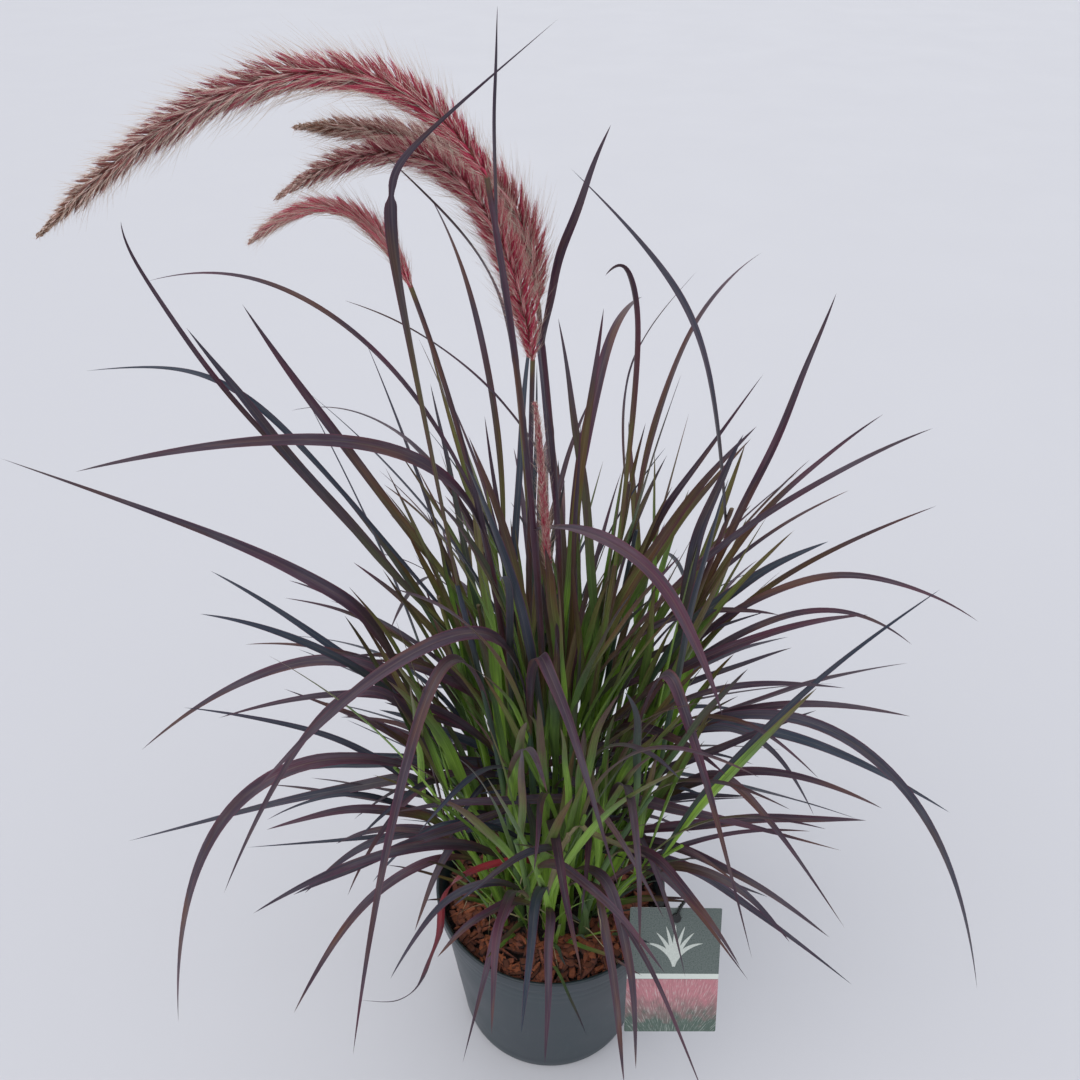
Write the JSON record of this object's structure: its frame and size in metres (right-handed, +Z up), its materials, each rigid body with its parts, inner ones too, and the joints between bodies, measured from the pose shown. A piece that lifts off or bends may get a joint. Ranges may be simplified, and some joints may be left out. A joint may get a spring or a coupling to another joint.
{
  "type": "potted purple fountain grass",
  "caption": "Clump of arching dark purple grass blades on green stems with bristly rose-pink plumes, in a round tapered pot topped with bark, with a label hooked on the rim.",
  "frame": {"origin": "centre of the pot's flat underside", "axes": "+Z up, -Y towards the viewer of the picture, +X to the viewer's right"},
  "size_m": [0.7305, 0.5644, 0.905],
  "materials": {
    "pot": "smooth satin slate-grey plastic",
    "growing_medium": "dark crumbly peat",
    "bark": "rough reddish bark chips",
    "card": "printed plastic card",
    "hook": "black moulded plastic",
    "leaf": "purple grass blades on green stems",
    "plume": "soft rose-pink bristles"
  },
  "bodies": {
    "root": {"pot": "pot", "growing_medium": "growing_medium", "bark_mulch": "bark", "label_card": "card", "label_hook": "hook", "leafy_stem_01": "leaf", "leafy_stem_02": "leaf", "leafy_stem_03": "leaf", "leafy_stem_04": "leaf", "leafy_stem_05": "leaf", "leafy_stem_06": "leaf", "leafy_stem_07": "leaf", "leafy_stem_08": "leaf", "leafy_stem_09": "leaf", "leafy_stem_10": "leaf", "leafy_stem_11": "leaf", "leafy_stem_12": "leaf", "leafy_stem_13": "leaf", "leafy_stem_14": "leaf", "leafy_stem_15": "leaf", "leafy_stem_16": "leaf", "leafy_stem_17": "leaf", "leafy_stem_18": "leaf", "leafy_stem_19": "leaf", "leafy_stem_20": "leaf", "leafy_stem_21": "leaf", "leafy_stem_22": "leaf", "leafy_stem_23": "leaf", "leafy_stem_24": "leaf", "leafy_stem_25": "leaf", "leafy_stem_26": "leaf", "leafy_stem_27": "leaf", "leafy_stem_28": "leaf", "leafy_stem_29": "leaf", "leafy_stem_30": "leaf", "leafy_stem_31": "leaf", "leafy_stem_32": "leaf", "leafy_stem_33": "leaf", "leafy_stem_34": "leaf", "leafy_stem_35": "leaf", "leafy_stem_36": "leaf", "flower_stem_1": "leaf", "plume_1": "plume", "flower_stem_2": "leaf", "plume_2": "plume", "flower_stem_3": "leaf", "plume_3": "plume", "flower_stem_4": "leaf", "plume_4": "plume", "flower_stem_5": "leaf", "plume_5": "plume"}
  },
  "joints": []
}
